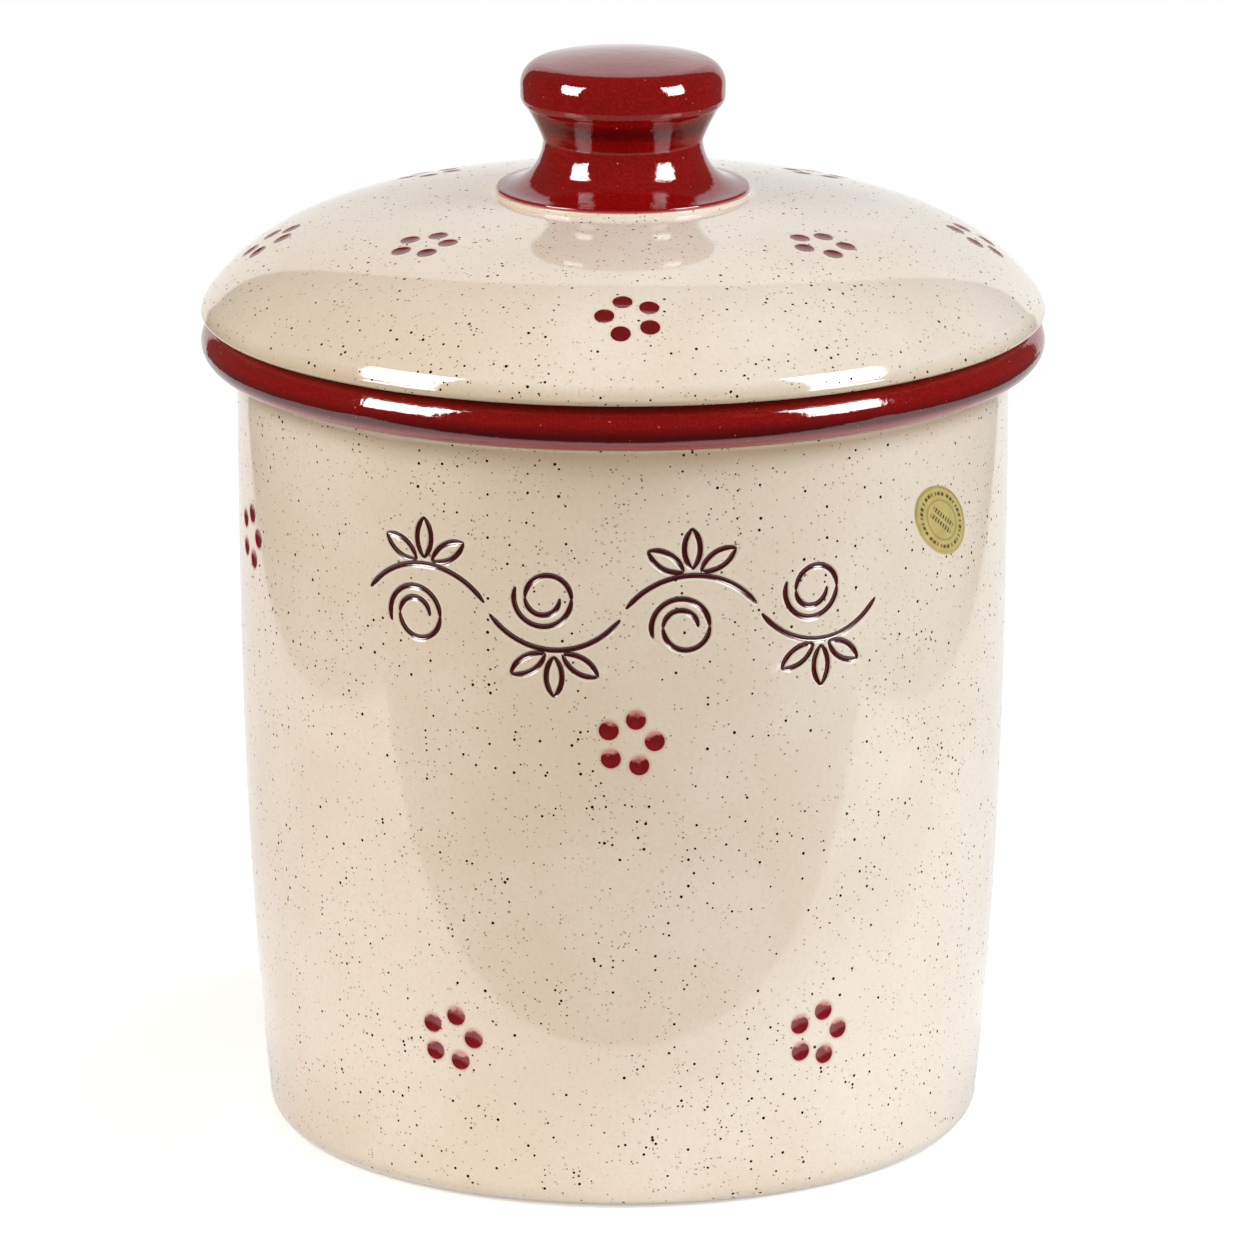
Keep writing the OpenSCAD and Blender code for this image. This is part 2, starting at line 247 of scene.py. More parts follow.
# %% Inlaid glaze
def inlay_recipe(name, deep, pale, low, high):
    """Glaze in a hollow: deep below, and pale from the low to the high share of its height."""
    mat, tree, shader = recipe(name)
    place = put(tree, "TexCoord").outputs["Object"]
    up = put(tree, "SeparateXYZ", {0: put(tree, "UVMap", uv_map="glaze_map").outputs[0]}).outputs[1]
    wander = noise(tree, place, 0.0032, 3.0, 0.6)
    height = reckon(tree, "ADD", up, reckon(tree, "MULTIPLY", reckon(tree, "SUBTRACT", wander, 0.5), 1.1))
    thin = step(tree, height, low, high)
    grain = noise(tree, place, 0.0005, 2.0, 0.6)
    colour = tint(tree, step(tree, grain, 0.4, 0.75, 0.0, 0.3), deep, srgb(134, 34, 34))
    colour = tint(tree, thin, colour, pale)
    bump = relief(tree, 0.2, 0.0002, noise(tree, place, 0.0012, 2.0))
    feed(tree, shader, {"Base Color": colour, "Roughness": 0.16, "Normal": bump})
    return mat


wall_dot_red = inlay_recipe("wall_dot_glaze", srgb(122, 12, 22), srgb(226, 150, 138), 0.68, 0.96)
lid_dot_red = inlay_recipe("lid_dot_glaze", srgb(108, 9, 12), srgb(186, 96, 92), 0.9, 1.3)
line_red = inlay_recipe("scroll_line_glaze", srgb(58, 8, 8), srgb(140, 40, 36), 1.1, 1.5)
print("inlays:", wall_dot_red.name, lid_dot_red.name, line_red.name)

# %% [markdown]
# ## Bare clay and gold foil
# The foot ring, the lid's seat and the end of its flange stay unglazed, or they would stick to the
# kiln shelf: dry buff clay with the same iron grains. The label is thin pale gold foil, a metal whose
# roughness and tiny creases vary.


# %% Bare clay
clay, tree, shader = recipe("bare_clay")
place = put(tree, "TexCoord").outputs["Object"]
colour = tint(tree, noise(tree, place, 0.006, 4.0, 0.6), srgb(196, 172, 138), srgb(214, 194, 162))
colour = tint(tree, specks(tree, place, 0.0022, 0.0003, 0.4), colour, srgb(104, 74, 48))
grit = relief(tree, 0.5, 0.0002, noise(tree, place, 0.0006, 3.0, 0.7))
feed(tree, shader, {"Base Color": colour, "Roughness": 0.85, "Normal": grit})
print("bare clay:", len(tree.nodes), "nodes")

# %% Gold foil
foil, tree, shader = recipe("gold_foil")
place = put(tree, "TexCoord").outputs["Object"]
crease = noise(tree, place, 0.0028, 4.0, 0.6)
colour = tint(tree, crease, srgb(206, 184, 104), srgb(228, 208, 136))
colour = tint(tree, read(tree, "print_and_dark_border"), colour, srgb(46, 34, 12))
rough = step(tree, crease, 0.2, 0.8, 0.28, 0.42)
bump = relief(tree, 0.25, 0.0003, crease)
feed(tree, shader, {"Base Color": colour, "Metallic": 0.4, "Roughness": rough, "Normal": bump})
print("gold foil:", len(tree.nodes), "nodes")

# %% [markdown]
# ## The sizes of the pot
# These are the solid model's own sizes in millimetres, so that a new surface lies where the solid's
# surface lies, with RIM_R and KNOB_TOP a hair smaller so that all stays inside its box. Three places
# are shaped more closely than in the solid: the lid's edge, the knob's neck and the label's outline.
# From its full width the wall draws in towards the foot, by WALL_TAPER at the ground. The dome is a low
# crown with a shoulder: SHOULDER_OUT keeps it out towards the edge, and SHOULDER_TURN rounds it off.

# %% Sizes
CROCK_H, RIM_R, ROLL_R = 211.0, 107.995, 5.75
ROLL_AT = (RIM_R - ROLL_R, CROCK_H - ROLL_R)
WALL_TOP_R, WALL_TOP_Z, WALL_T = 98.9, 199.5, 6.0
WALL_TAPER, TAPER_POWER = 7.6, 2.8
BASE_ROUND, FOOT_W, FOOT_LIFT = 6.5, 9.0, 1.5
FLOOR_T, FLOOR_ROUND = 8.0, 12.0
MOUTH_R = WALL_TOP_R - WALL_T
GLAZE_T = 0.4
SEAT_Z, LIP_Z, LIP_H = 211.3, 211.6, 1.6
DOME_Z = LIP_Z + LIP_H
CROWN_H, SHOULDER_H = 12.9, 17.8
SHOULDER_OUT, SHOULDER_TURN = 6.8, 1.2
KNOB_Z = DOME_Z + CROWN_H + SHOULDER_H
KNOB_FOOT_R, CAP_R, WAIST_R, KNOB_TOP = 32.3, 26.2, 20.4, KNOB_Z + 34.99


def wall_r(z):
    """Outer radius of the wall at a height."""
    return WALL_TOP_R - WALL_TAPER * np.maximum(0, 1 - z / WALL_TOP_Z) ** TAPER_POWER


def dome_at(r):
    """Height of the dome at a radius."""
    q = np.minimum(r / RIM_R, 1.0)
    return DOME_Z + CROWN_H * (1 - q**2) + SHOULDER_H * (1 - q**SHOULDER_OUT) ** (1 / SHOULDER_TURN)


def dome_tilt(r):
    """Slope of the dome below the level, in radians."""
    return math.atan2(dome_at(r - 0.05) - dome_at(r + 0.05), 0.1)


def arc(centre, radius, start, end, parts=10):
    """Points along a part of a circle, with the angles in degrees."""
    turns = [math.radians(start + (end - start) * k / parts) for k in range(parts + 1)]
    return [(centre[0] + radius * math.cos(t), centre[1] + radius * math.sin(t)) for t in turns]


print("wall radius at the foot", round(float(wall_r(BASE_ROUND)), 2), "dome top", round(KNOB_Z, 2))

# %% [markdown]
# ## Throwing on the wheel
# A pot is a turned shape, so it is made as on a wheel: one point is pulled along the outline by
# extruding it, and the outline is spun once round the upright axis. The seam is merged, the faces
# are turned outwards, and edges sharper than a given angle stay crisp.


# %% The wheel
def throw(name, outline, turns=216, crisp=50):
    """A piece that is spun from an outline of points in millimetres, out from the axis and up."""
    bpy.ops.object.select_all(action="DESELECT")
    bpy.ops.mesh.primitive_plane_add(size=1)
    piece = bpy.context.object
    piece.name = piece.data.name = name
    bpy.ops.object.mode_set(mode="EDIT")
    bpy.ops.mesh.select_mode(type="VERT")
    bpy.ops.mesh.select_all(action="SELECT")
    bpy.ops.mesh.merge(type="CENTER")
    here = (0.0, 0.0)
    for k, point in enumerate(outline):
        move = ((point[0] - here[0]) * MM, 0, (point[1] - here[1]) * MM)
        if k:
            bpy.ops.mesh.extrude_region_move(TRANSFORM_OT_translate={"value": move})
        else:
            bpy.ops.transform.translate(value=move)
        here = point
    bpy.ops.mesh.select_all(action="SELECT")
    bpy.ops.mesh.spin(steps=turns, angle=math.tau, center=(0, 0, 0), axis=(0, 0, 1))
    bpy.ops.mesh.select_all(action="SELECT")
    bpy.ops.mesh.remove_doubles(threshold=0.00001)
    bpy.ops.mesh.normals_make_consistent(inside=False)
    bpy.ops.object.mode_set(mode="OBJECT")
    bpy.ops.object.shade_smooth_by_angle(angle=math.radians(crisp))
    print(name, len(piece.data.vertices), "points,", len(piece.data.polygons), "faces")
    return piece


def points_of(piece):
    """The mesh's points in millimetres, one row each."""
    flat = np.empty(len(piece.data.vertices) * 3, np.float32)
    piece.data.vertices.foreach_get("co", flat)
    return flat.reshape(-1, 3).astype(float) / MM


def put_points(piece, points):
    """Moves the mesh's points to new places in millimetres."""
    piece.data.vertices.foreach_set("co", (points * MM).astype(np.float32).ravel())
    piece.data.update()


def note(piece, name, values):
    """Stores one number for each point of the mesh, for a material to read."""
    layer = piece.data.attributes.new(name, "FLOAT", "POINT")
    layer.data.foreach_set("value", values.astype(np.float32))


def thicken(piece, thickness, crisp):
    """Gives the active sheet a thickness in millimetres, below the face that shows."""
    body = piece.modifiers.new("body", "SOLIDIFY")
    body.thickness, body.offset = thickness * MM, -1
    bpy.ops.object.modifier_apply(modifier="body")
    bpy.ops.object.shade_smooth_by_angle(angle=math.radians(crisp))


def join(name, pieces):
    """Makes one piece of several."""
    bpy.ops.object.select_all(action="DESELECT")
    for piece in pieces:
        piece.select_set(True)
    bpy.context.view_layer.objects.active = pieces[0]
    bpy.ops.object.join()
    pieces[0].name = pieces[0].data.name = name
    return pieces[0]


def finish_piece(piece, body, slot, *materials, stands_for=()):
    """Gives a piece its finish, its body and the solids that it stands for; slot is not used."""
    for mat in materials:
        piece.data.materials.append(mat)
    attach(piece, body)
    if stands_for:
        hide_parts(*stands_for)


# %% [markdown]
# ## The carved scroll
# A line is scratched into the leather-hard wall with a wire tool. It is a wave of arches with a curl
# in each bay and a sprig of leaves on each crest, a common kind of border. Every stroke is part of a
# circle on the flat of its bay, so one list of arcs gives both the groove and the glaze in it.

# %% Strokes of the scroll
SCROLL_Z, LINE_W, LINE_DEPTH, BAYS, BAY_DEG = 157.0, 1.1, 0.6, 4, 20.0
BAY_HALF = (float(wall_r(SCROLL_Z)) - LINE_DEPTH / 2) * math.tan(math.radians(BAY_DEG / 2))


def leaf_strokes(at, lean):
    """A leaf of two arcs that starts at a point and leans over by an angle."""
    half, length = 42.0, BAY_HALF * 0.6
    radius = length / (2 * math.sin(math.radians(half)))
    strokes = []
    for side in (-1, 1):
        reach, turn = side * radius * math.cos(math.radians(half)), math.radians(lean)
        x = at[0] + length / 2 * math.cos(turn) - reach * math.sin(turn)
        y = at[1] + length / 2 * math.sin(turn) + reach * math.cos(turn)
        middle = lean - side * 90
        strokes.append((x, y, radius, middle - half, middle + half))
    return strokes


def bay_strokes():
    """Centre, radius and end angles of every stroke of one bay, with its arch upwards."""
    rise, gap, curl = BAY_HALF * 0.55, LINE_W * 0.9, BAY_HALF * 0.42
    stem = (BAY_HALF**2 + rise**2) / (2 * rise)
    half = math.degrees(math.asin((BAY_HALF - gap) / stem))
    x, y = -BAY_HALF / 6, -curl / 2
    strokes = [(0, rise - stem, stem, 90 - half, 90 + half), (x, y, curl, 0, 200)]
    strokes += [(x + curl * 0.2, y, curl * 0.8, -180, 2), (x, y, curl * 0.6, 0, 180)]
    crest = rise + LINE_W + gap / 2
    strokes += leaf_strokes((0, crest), 90)
    for side in (-1, 1):
        strokes += leaf_strokes((side * 2 * LINE_W, crest - LINE_W / 2), 90 - side * 58)
    return strokes


STROKES = bay_strokes()
BAY_TURNS = [((k - (BAYS - 1) / 2) * BAY_DEG, -1 if k % 2 else 1) for k in range(BAYS)]
print(len(STROKES), "strokes in each of", BAYS, "bays")


# %% How far a point of the wall is from the line
def taper(along, length):
    """The tool's pressure: light at both ends of a stroke, full in between."""
    ends = np.minimum(along, 1 - along) * length
    return 0.45 + 0.55 * np.clip(ends / 2.5, 0, 1) ** 0.7


def line_relief(points):
    """Distance to the nearest stroke, as a share of its half width, and the pressure there."""
    turn = np.degrees(np.arctan2(points[:, 0], -points[:, 1]))
    out = np.hypot(points[:, 0], points[:, 1])
    best, press = np.full(len(points), 9.0), np.ones(len(points))
    for bay_turn, flip in BAY_TURNS:
        x = out * np.sin(np.radians(turn - bay_turn))
        y = (points[:, 2] - SCROLL_Z) * flip
        near = (np.abs(turn - bay_turn) < 60) & (np.abs(y) < 30)
        for cx, cy, radius, start, end in STROKES:
            middle = (start + end) / 2
            angle = np.degrees(np.arctan2(y - cy, x - cx))
            angle = (angle - middle + 180) % 360 - 180 + middle
            angle = np.clip(angle, start, end)
            a = np.radians(angle)
            apart = np.hypot(x - cx - radius * np.cos(a), y - cy - radius * np.sin(a))
            strength = taper((angle - start) / (end - start), radius * math.radians(end - start))
            share = np.where(near, apart / (strength * LINE_W * 0.8), 9.0)
            press = np.where(share < best, strength, press)
            best = np.minimum(best, share)
    return best, press


# %% [markdown]
# ## The pressed flowers
# A round stick is pressed five times into the soft wall for each flower, and it leaves shallow bowls
# with a slightly raised lip. The flowers are scattered in three rows, and in two rings on the lid.
# WALL_FIRST and LID_FIRST turn a flower about its middle, as the angle of its first dot.

# %% Places of the dots
DOT_R, DOT_DEPTH, BLOSSOM_R = 2.45, 0.9, 6.2
WALL_FIRST, LID_FIRST = 4, 34
WALL_FLOWERS = [(turn, WALL_TOP_Z * 0.218) for turn in (-27, 31, 103, 176, -102)]
MID_Z = SCROLL_Z - (BAY_HALF * 1.15 + 3 * LINE_W) - BLOSSOM_R - 0.75 * 2 * DOT_R
WALL_FLOWERS += [(turn, MID_Z) for turn in (1, 121, -121)]
WALL_FLOWERS += [(turn, SCROLL_Z + 1.2 * DOT_R) for turn in (-73, 108, 180)]
LID_FLOWERS = [(turn, RIM_R - 18) for turn in (1, 91, 181, 271)]
LID_FLOWERS += [(turn, RIM_R - 42) for turn in (49, 131, 229, 311)]


def seat(turn, out, height, lean):
    """The place of a dot: its own z axis points out of the surface, and its y axis points up the pot."""
    stand = Matrix.Rotation(math.radians(turn), 4, "Z") @ Matrix.Translation((0, -out * MM, height * MM))
    return stand @ Matrix.Rotation(lean, 4, "X")


def dot_seats():
    """The places of all dots on the wall and on the lid."""
    wall, lid = [], []
    for turn, z in WALL_FLOWERS:
        for k in range(5):
            a = math.radians(WALL_FIRST + 72 * k)
            height = z + BLOSSOM_R * math.sin(a)
            side = turn + math.degrees(BLOSSOM_R * math.cos(a) / float(wall_r(z)))
            wall.append(seat(side, float(wall_r(height)), height, math.pi / 2))
    for turn, r in LID_FLOWERS:
        for k in range(5):
            a = math.radians(LID_FIRST + 72 * k)
            out = r - BLOSSOM_R * math.sin(a) * math.cos(dome_tilt(r))
            side = turn + math.degrees(BLOSSOM_R * math.cos(a) / r)
            lid.append(seat(side, out, float(dome_at(out)), dome_tilt(out)))
    return wall, lid


WALL_DOTS, LID_DOTS = dot_seats()
print(len(WALL_DOTS), "dots on the wall,", len(LID_DOTS), "on the lid, middle row at", round(MID_Z, 1))


# %% Pressing the dots into a mesh
def dot_distance(points, seats):
    """For each point, how far it is from the nearest dot's middle, and which way is into that dot."""
    best, inward = np.full(len(points), 99.0), np.zeros((len(points), 3))
    for matrix in seats:
        middle, axis = np.array(matrix.translation) / MM, np.array(matrix.col[2][:3])
        apart = points - middle
        along = apart @ axis
        flat = np.linalg.norm(apart - along[:, None] * axis, axis=1)
        flat = np.where(np.abs(along) < 3, flat, 99.0)
        closer = flat < best
        best = np.where(closer, flat, best)
        inward[closer] = -axis
    return best, inward


def pick_faces(piece, chosen):
    """Opens a piece for editing, with the chosen faces selected."""
    bpy.ops.object.select_all(action="DESELECT")
    piece.select_set(True)
    bpy.context.view_layer.objects.active = piece
    bpy.ops.object.mode_set(mode="EDIT")
    bpy.ops.mesh.select_mode(type="FACE")
    bpy.ops.mesh.select_all(action="DESELECT")
    bpy.ops.object.mode_set(mode="OBJECT")
    piece.data.polygons.foreach_set("select", chosen)
    bpy.ops.object.mode_set(mode="EDIT")


def refine(piece, chosen, cuts):
    """Subdivides the chosen faces, so that a small relief finds enough points."""
    pick_faces(piece, chosen)
    bpy.ops.mesh.subdivide(number_cuts=cuts)
    bpy.ops.object.mode_set(mode="OBJECT")


def face_middles(piece):
    """The middle of each face in millimetres."""
    flat = np.empty(len(piece.data.polygons) * 3, np.float32)
    piece.data.polygons.foreach_get("center", flat)
    return flat.reshape(-1, 3).astype(float) / MM


def press_dots(points, seats):
    """The points with every dot pressed in, and the blush of colour round each."""
    apart, inward = dot_distance(points, seats)
    bowl = (DOT_DEPTH + 0.12) * np.clip(1 - (apart / (DOT_R + 0.14)) ** 2, 0, 1)
    lip = 0.07 * np.exp(-(((apart - DOT_R - 0.45) / 0.3) ** 2))
    return points + inward * (bowl - lip)[:, None], np.clip((DOT_R + 0.75 - apart) / 0.6, 0, 1) * 0.55


# %% [markdown]
# ## The crock
# The outline runs from the middle of the underside over the foot ring, up the wall, round the rolled
# rim, down the inside and over the floor, so the pot is one closed shell of clay. The wall gets a
# point about every three millimetres, and the faces near a line or a dot are subdivided. Then the
# points are pushed in, by the depth of the groove or the bowl at each. A painted shade darkens the
# corner under the rim, over about 8 mm, and a painted highlight lightens the burr along the line.

# %% Outline of the crock
def crock_outline():
    """The section of the pot, from the middle of its underside to the middle of its floor."""
    foot_r = float(wall_r(BASE_ROUND)) - BASE_ROUND
    ring_r = foot_r - FOOT_W
    core = ROLL_R - GLAZE_T
    line = [(0, FOOT_LIFT), (ring_r * 0.5, FOOT_LIFT), (ring_r - 1, FOOT_LIFT), (ring_r, FOOT_LIFT)]
    line += [(ring_r + 0.5, 0.9), (ring_r + 1.2, 0.15), (ring_r + 1.8, 0)]
    line += [(foot_r - 3, 0)] + arc((foot_r, BASE_ROUND), BASE_ROUND, -90, -6, 12)
    line += [(float(wall_r(z)), z) for z in np.linspace(BASE_ROUND + 2.5, WALL_TOP_Z - 2.6, 66)]
    line += arc((WALL_TOP_R + 2.5, WALL_TOP_Z - 2.5), 2.5, 170, 95, 5)
    line += arc(ROLL_AT, core, -95, 90, 14)
    line += arc((MOUTH_R + 2.5, CROCK_H - GLAZE_T - 2.5), 2.5, 90, 180, 6)
    line += [(float(wall_r(z)) - WALL_T, z) for z in np.linspace(CROCK_H - 6, FLOOR_T + FLOOR_ROUND, 14)]
    inner = float(wall_r(FLOOR_T + FLOOR_ROUND)) - WALL_T - FLOOR_ROUND
    line += arc((inner, FLOOR_T + FLOOR_ROUND), FLOOR_ROUND, -6, -90, 7)[1:]
    return line + [(inner * 0.66, FLOOR_T), (inner * 0.33, FLOOR_T), (0, FLOOR_T)]


crock = throw("crock_wall", crock_outline())

# %% Subdivide near the lines and the dots
middles = face_middles(crock)
outside = np.hypot(middles[:, 0], middles[:, 1]) > wall_r(middles[:, 2]) - 0.6
near_line = outside & (line_relief(middles)[0] < 2.9 / (LINE_W * 0.8))
refine(crock, near_line, 8)
middles = face_middles(crock)
outside = np.hypot(middles[:, 0], middles[:, 1]) > wall_r(middles[:, 2]) - 0.6
big = np.array([p.area for p in crock.data.polygons]) > 4e-6
refine(crock, outside & big & (dot_distance(middles, WALL_DOTS)[0] < 4.6), 4)
print("crock after subdividing:", len(crock.data.polygons), "faces")

# %% Carve and press
points = points_of(crock)
out = np.hypot(points[:, 0], points[:, 1])
on_wall = (out > wall_r(points[:, 2]) - 0.7) & (points[:, 2] > 10) & (points[:, 2] < WALL_TOP_Z - 2.7)
true_r = np.where(on_wall, wall_r(points[:, 2]), out)
points[:, :2] *= (true_r / np.maximum(out, 1e-6))[:, None]
share, pressure = line_relief(points)
groove = np.where(on_wall, (LINE_DEPTH + 0.1) * pressure * np.clip(1 - share**2, 0, 1), 0)
burr = np.where(on_wall, 0.1 * np.exp(-(((share - 1.22) / 0.2) ** 2)), 0)
pressed, blush = press_dots(points, WALL_DOTS)
points[on_wall] = pressed[on_wall]
out = np.hypot(points[:, 0], points[:, 1])
points[:, :2] *= (1 - (groove - burr) / np.maximum(out, 1e-6))[:, None]
put_points(crock, points)
note(crock, "blush", np.where(on_wall, blush, 0))
# Painted highlight: lighter cream along the raised burr of the carved line.
note(crock, "bare", np.where(on_wall, np.clip(burr / 0.1, 0, 1) * 0.5, 0))
# Painted shade: browner glaze in the corner under the rim, over about 8 mm.
note(crock, "painted_shade", np.clip((points[:, 2] - WALL_TOP_Z + 8) / 8, 0, 1) ** 1.5 * 0.6)
print("deepest groove", round(float(groove.max()), 2), "mm")

# %% Finish of the crock
middles = face_middles(crock)
foot = (middles[:, 2] < 0.6) & (np.hypot(middles[:, 0], middles[:, 1]) > 60)
crock.data.polygons.foreach_set("material_index", foot.astype(np.int32))
finish_piece(crock, "crock", "cream_glaze", cream, clay, stands_for=("crock_body",))

# %% [markdown]
# ## The red coat on the rolled rim
# It lies over the roll from its lower edge to the lid's seat, 0.4 mm thick. A painted shade darkens
# the lower half of the roll, and the glaze is thin along its lower edge. It is thrown as a closed
# ring of its own, because it is a finish of its own.

# %% Rim glaze
def rim_outline():
    """The section of the coat: over the roll and back below it."""
    line = arc(ROLL_AT, ROLL_R, -97, 90, 34)
    line += [(MOUTH_R + 4.5, CROCK_H), (MOUTH_R + 3, CROCK_H - 0.06), (MOUTH_R + 2.4, CROCK_H - 0.25)]
    line += [(MOUTH_R + 2.6, CROCK_H - GLAZE_T)]
    return line + arc(ROLL_AT, ROLL_R - GLAZE_T, 90, -92, 16) + [line[0]]


rim = throw("rim_glaze_coat", rim_outline())
height = points_of(rim)[:, 2]
note(rim, "thin", np.clip((WALL_TOP_Z + 3.4 - height) / 1.8, 0, 1) * 0.25)
# Painted shade: the lower half of the roll is darkened, fading out near its top and its edge.
below_top = np.clip((CROCK_H - 4.2 - height) / 3, 0, 1)
above_edge = np.clip((height - WALL_TOP_Z - 2.4) / 1.2, 0, 1)
note(rim, "painted_shade", below_top * above_edge * 0.95)
finish_piece(rim, "crock", "red_glaze", red, stands_for=("rim_glaze",))

# %% [markdown]
# ## The lid
# The outline is closed too: over the dome, round a tight bend to its lip, along the seat that rests on
# the rim, down the flange that keeps the lid in place, and up the hollow to the small vent into the
# knob. The bend is an arc that leaves the dome at EDGE_R along its slope and ends nearly upright. A low
# ring of clay stands round the knob's foot, where the knob was joined on.

# %% Outline of the lid
VENT_R, PAD_R, FLANGE_R, FLANGE_LOW, FLANGE_T = 2.5, 33.0, MOUTH_R - 1.6, CROCK_H - 9, 5.0
HOLLOW_R = FLANGE_R - FLANGE_T
EDGE_R, EDGE_ROUND = 103.0, 8.5
LID_T, HOLLOW_POWER = 7.0, 2.6


def lid_outline():
    """The section of the lid, from its vent over the outside and back through the hollow."""
    line = [(VENT_R, KNOB_Z), (12, KNOB_Z), (24, KNOB_Z), (PAD_R - 0.2, KNOB_Z)]
    line += arc((PAD_R - 0.2, KNOB_Z - 0.2), 0.2, 80, 10, 3)
    line += [(PAD_R, float(dome_at(PAD_R)))]
    line += [(float(r), float(dome_at(r))) for r in np.linspace(PAD_R + 1.5, EDGE_R, 32)]
    turn_down = math.pi / 2 - dome_tilt(EDGE_R)
    bend_r = RIM_R - EDGE_ROUND * (1 - math.cos(turn_down))
    bend_z = float(dome_at(EDGE_R)) - (bend_r - EDGE_R) * math.tan(dome_tilt(EDGE_R))
    middle = (RIM_R - EDGE_ROUND, bend_z - EDGE_ROUND * math.sin(turn_down))
    line += arc(middle, EDGE_ROUND, math.degrees(turn_down), 14, 14)
    line += arc((RIM_R - LIP_H, DOME_Z), LIP_H, 0, -84, 8)
    line += [(ROLL_AT[0], SEAT_Z), (FLANGE_R + 0.6, SEAT_Z), (FLANGE_R, SEAT_Z - 0.6)]
    line += arc((FLANGE_R - 1, FLANGE_LOW + 1), 1, 0, -90, 4)
    line += arc((HOLLOW_R + 1, FLANGE_LOW + 1), 1, -90, -180, 4)
    low, top = DOME_Z + 1, KNOB_Z - LID_T
    bend = 2 / HOLLOW_POWER
    for a in np.radians(np.linspace(0, 82, 20)):
        line.append((HOLLOW_R * math.cos(a) ** bend, low + (top - low) * math.sin(a) ** bend))
    return line + [(VENT_R + 1, top), (VENT_R, top + 0.4), (VENT_R, KNOB_Z - 3), (VENT_R, KNOB_Z)]


lid = throw("lid_dome", lid_outline())

# %% Press the lid's dots
middles = face_middles(lid)
refine(lid, (middles[:, 2] > DOME_Z + 2) & (dot_distance(middles, LID_DOTS)[0] < 4.8), 4)
points = points_of(lid)
out = np.hypot(points[:, 0], points[:, 1])
on_dome = (points[:, 2] > dome_at(out) - 0.8) & (out > PAD_R + 1.4) & (out < 101)
points[on_dome, 2] = dome_at(out[on_dome])
pressed, blush = press_dots(points, LID_DOTS)
points[on_dome] = pressed[on_dome]
put_points(lid, points)
note(lid, "blush", np.where(on_dome, blush * 0.5, 0))
# Painted shade: browner along the lid's lower edge.
note(lid, "painted_shade", np.clip((DOME_Z + 3.5 - points[:, 2]) / 4, 0, 1) * 0.45)
print("lid after pressing:", len(lid.data.polygons), "faces")

# %% Finish of the lid
middles = face_middles(lid)
out = np.hypot(middles[:, 0], middles[:, 1])
seat_faces = (np.abs(middles[:, 2] - SEAT_Z) < 0.2) & (out > FLANGE_R) & (out < RIM_R - 3)
flange_end = (middles[:, 2] < FLANGE_LOW + 0.35) & (out < FLANGE_R)
lid.data.polygons.foreach_set("material_index", (seat_faces | flange_end).astype(np.int32))
finish_piece(lid, "lid", "cream_glaze", cream, clay, stands_for=("lid_shell",))

# %% [markdown]
# ## The knob
# It is thrown hollow and joined to the lid: a foot that flares out, a waist with a crease, a neck that
# widens faster and faster, and a cap like a mushroom with a soft edge. A painted shade darkens a band
# round the neck under the cap, and the red glaze breaks to a pale line along the foot's edge.

# %% Outline of the knob
KNOB_T, FOOT_EDGE_H, FOOT_EDGE_ROUND = 5.0, 0.9, 0.45
UNDER_ROUND, SHOULDER_ROUND = 4.0, 6.0
SHOULDER_Z = KNOB_TOP - 7.8
UNDER_Z = SHOULDER_Z - 2.6
NECK_BAND_Z, NECK_BAND_HALF = KNOB_Z + 18.2, 2.6


def knob_outline():
    """The section of the knob, from its open underside over the cap and back inside."""
    flare, inside_r = KNOB_FOOT_R - WAIST_R, WAIST_R - KNOB_T
    waist_z = KNOB_Z + FOOT_EDGE_H + flare
    line = [(inside_r, KNOB_Z), (KNOB_FOOT_R - 3, KNOB_Z), (KNOB_FOOT_R - 0.5, KNOB_Z + 0.02)]
    line += arc((KNOB_FOOT_R - FOOT_EDGE_ROUND, KNOB_Z + FOOT_EDGE_ROUND), FOOT_EDGE_ROUND, -70, 80, 6)
    line += arc((KNOB_FOOT_R, waist_z), flare, 268, 180, 22)
    under = arc((CAP_R - UNDER_ROUND, UNDER_Z), UNDER_ROUND, -50, 0, 10)
    rise, swell = under[0][1] - waist_z, under[0][0] - WAIST_R
    for u in np.linspace(0.06, 0.94, 10):
        line.append((WAIST_R + swell * (0.75 * u + 0.25 * u * u), waist_z + rise * u))
    edge_r, edge_z = CAP_R - SHOULDER_ROUND, SHOULDER_Z + SHOULDER_ROUND
    line += under + arc((edge_r, SHOULDER_Z), SHOULDER_ROUND, 0, 78, 12)
    line += [(edge_r * k / 10, KNOB_TOP - (KNOB_TOP - edge_z) * (k / 10) ** 2) for k in range(9, -1, -1)]
    line += [(0, KNOB_TOP - KNOB_T), (8, KNOB_TOP - KNOB_T - 0.2)]
    line += arc((edge_r - KNOB_T, SHOULDER_Z - 0.5), SHOULDER_ROUND, 80, 0, 6)
    return line + [(CAP_R - KNOB_T, UNDER_Z), (inside_r, waist_z), (inside_r, KNOB_Z)]


# %% Throw the knob
knob = throw("knob", knob_outline(), turns=144, crisp=35)
points = points_of(knob)
height, out = points[:, 2], np.hypot(points[:, 0], points[:, 1])
note(knob, "thin", np.clip((KNOB_Z + 0.55 - height) / 0.4, 0, 1) * (out > KNOB_FOOT_R - 1))
# Painted shade: a dark band round the neck under the cap.
note(knob, "painted_shade", np.clip(1 - np.abs(height - NECK_BAND_Z) / NECK_BAND_HALF, 0, 1) ** 0.5 * 0.9)
finish_piece(knob, "lid", "red_glaze", red, stands_for=("lid_knob",))

